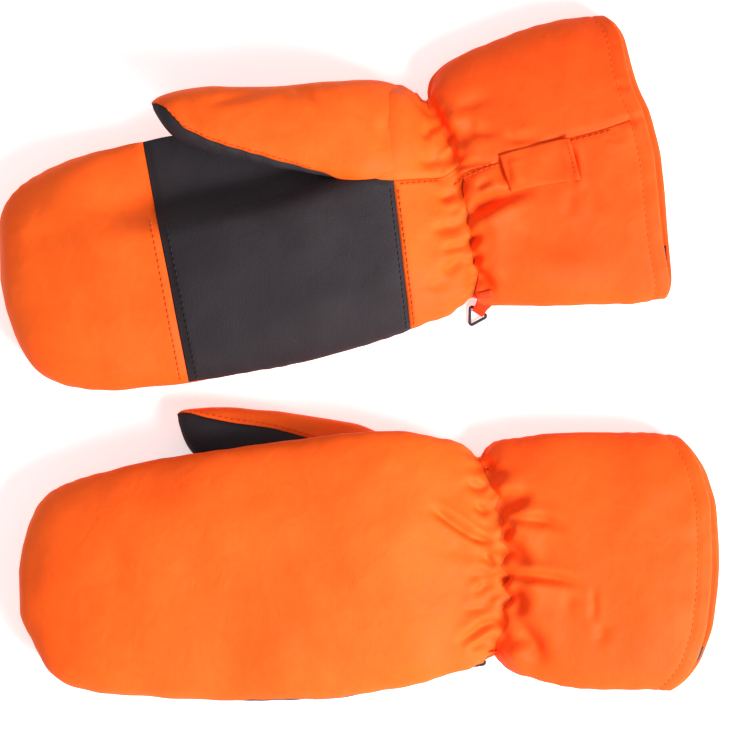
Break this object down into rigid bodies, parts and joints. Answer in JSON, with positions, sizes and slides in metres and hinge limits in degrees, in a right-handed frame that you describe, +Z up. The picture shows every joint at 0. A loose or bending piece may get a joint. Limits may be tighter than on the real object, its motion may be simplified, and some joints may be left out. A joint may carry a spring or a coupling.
{
  "type": "pair of ski mittens",
  "caption": "Insulated gauntlet ski mittens lying flat, the right palm up and the left palm down, with elastic wrists, flared cuffs and clip rings.",
  "frame": {"origin": "centre of the pair's bounding box, on the surface that the mittens lie on", "axes": "+X from the fingertips to the cuff mouths, +Y from the little finger side to the thumb side, +Z up"},
  "size_m": [0.3456, 0.3302, 0.0453],
  "materials": {
    "shell_orange": "woven nylon, slightly crinkled, soft sheen",
    "grip_black": "black synthetic leather, fine grain",
    "membrane": "thin waterproof film",
    "wadding": "lofted polyester fibre",
    "lining": "short brushed fleece",
    "elastic": "flat braided elastic",
    "webbing": "narrow woven tape",
    "thread": "polyester sewing thread",
    "ring_plastic": "moulded black plastic",
    "label": "blank woven tape"
  },
  "bodies": {
    "right_hand": {"right_back_panel_hand": "shell_orange", "right_palm_patch": "grip_black", "right_palm_heel_panel": "shell_orange", "right_thumb_base_panel": "shell_orange", "right_hand_membrane": "membrane", "right_hand_wadding": "wadding", "right_hand_lining": "lining", "right_wrist_casing": "shell_orange", "right_wrist_elastic": "elastic"},
    "right_fingers": {"right_back_panel_fingers": "shell_orange", "right_palm_tip_panel": "shell_orange", "right_finger_membrane": "membrane", "right_finger_wadding": "wadding", "right_finger_lining": "lining"},
    "right_thumb": {"right_thumb_outer_panel": "shell_orange", "right_thumb_grip_panel": "grip_black", "right_thumb_membrane": "membrane", "right_thumb_wadding": "wadding", "right_thumb_lining": "lining"},
    "right_cuff": {"right_cuff_back_panel": "shell_orange", "right_cuff_palm_panel": "shell_orange", "right_cuff_thumb_panel": "shell_orange", "right_cuff_wadding": "wadding", "right_cuff_lining": "lining", "right_cuff_hem": "shell_orange", "right_cuff_seam_tab": "shell_orange", "right_size_label": "label"},
    "right_loop": {"right_clip_loop": "webbing", "right_bar_tacks": "thread"},
    "right_ring": {"right_clip_ring": "ring_plastic"},
    "left_hand": {"left_back_panel_hand": "shell_orange", "left_palm_patch": "grip_black", "left_palm_heel_panel": "shell_orange", "left_thumb_base_panel": "shell_orange", "left_hand_membrane": "membrane", "left_hand_wadding": "wadding", "left_hand_lining": "lining", "left_wrist_casing": "shell_orange", "left_wrist_elastic": "elastic"},
    "left_fingers": {"left_back_panel_fingers": "shell_orange", "left_palm_tip_panel": "shell_orange", "left_finger_membrane": "membrane", "left_finger_wadding": "wadding", "left_finger_lining": "lining"},
    "left_thumb": {"left_thumb_outer_panel": "shell_orange", "left_thumb_grip_panel": "grip_black", "left_thumb_membrane": "membrane", "left_thumb_wadding": "wadding", "left_thumb_lining": "lining"},
    "left_cuff": {"left_cuff_back_panel": "shell_orange", "left_cuff_palm_panel": "shell_orange", "left_cuff_thumb_panel": "shell_orange", "left_cuff_wadding": "wadding", "left_cuff_lining": "lining", "left_cuff_hem": "shell_orange", "left_cuff_seam_tab": "shell_orange", "left_size_label": "label"},
    "left_loop": {"left_clip_loop": "webbing", "left_bar_tacks": "thread"},
    "left_ring": {"left_clip_ring": "ring_plastic"}
  },
  "joints": [
    {"name": "right_finger_curl", "type": "hinge", "parent": "right_hand", "child": "right_fingers", "pos_m": [-0.09243, 0.04609, 0.03702], "axis": [-0.1907, 0.9817, 0], "range_deg": [0, 50], "stiffness_Nm_per_rad": 0.12},
    {"name": "right_thumb_spread", "type": "hinge", "parent": "right_hand", "child": "right_thumb", "pos_m": [-0.01443, 0.13105, 0.03332], "axis": [0, 0, -1], "range_deg": [0, 30], "stiffness_Nm_per_rad": 0.08},
    {"name": "right_wrist_bend", "type": "hinge", "parent": "right_hand", "child": "right_cuff", "pos_m": [0.04441, 0.07724, 0.0141], "axis": [0.2085, -0.978, 0], "range_deg": [-15, 15], "stiffness_Nm_per_rad": 0.1},
    {"name": "right_loop_swing", "type": "hinge", "parent": "right_cuff", "child": "right_loop", "pos_m": [0.06045, 0.0267, 0.0062], "axis": [-0.853, 0.5219, 0], "range_deg": [-45, 60]},
    {"name": "right_ring_swing", "type": "hinge", "parent": "right_loop", "child": "right_ring", "pos_m": [0.05773, 0.02226, 0.0016], "axis": [-0.853, 0.5219, 0], "range_deg": [-60, 30]},
    {"name": "left_finger_curl", "type": "hinge", "parent": "left_hand", "child": "left_fingers", "pos_m": [-0.08907, -0.10631, 0.00078], "axis": [0.1505, -0.9886, 0], "range_deg": [0, 50], "stiffness_Nm_per_rad": 0.12},
    {"name": "left_thumb_spread", "type": "hinge", "parent": "left_hand", "child": "left_thumb", "pos_m": [-0.00675, -0.03023, 0.01168], "axis": [0, 0, -1], "range_deg": [0, 8], "stiffness_Nm_per_rad": 0.08},
    {"name": "left_wrist_bend", "type": "hinge", "parent": "left_hand", "child": "left_cuff", "pos_m": [0.06146, -0.09558, 0.01528], "axis": [-0.0706, 0.9975, 0], "range_deg": [-15, 15], "stiffness_Nm_per_rad": 0.1},
    {"name": "left_loop_swing", "type": "hinge", "parent": "left_cuff", "child": "left_loop", "pos_m": [0.06237, -0.14063, 0.0044], "axis": [-0.6222, 0.7828, 0], "range_deg": [-45, 5]},
    {"name": "left_ring_swing", "type": "hinge", "parent": "left_loop", "child": "left_ring", "pos_m": [0.0583, -0.14387, 0.0016], "axis": [-0.6222, 0.7828, 0], "range_deg": [-60, 15]},
    {"name": "pair_apart", "type": "slide", "parent": "right_hand", "child": "left_hand", "axis": [0, -1, 0], "range_m": [0, 0.2]}
  ]
}
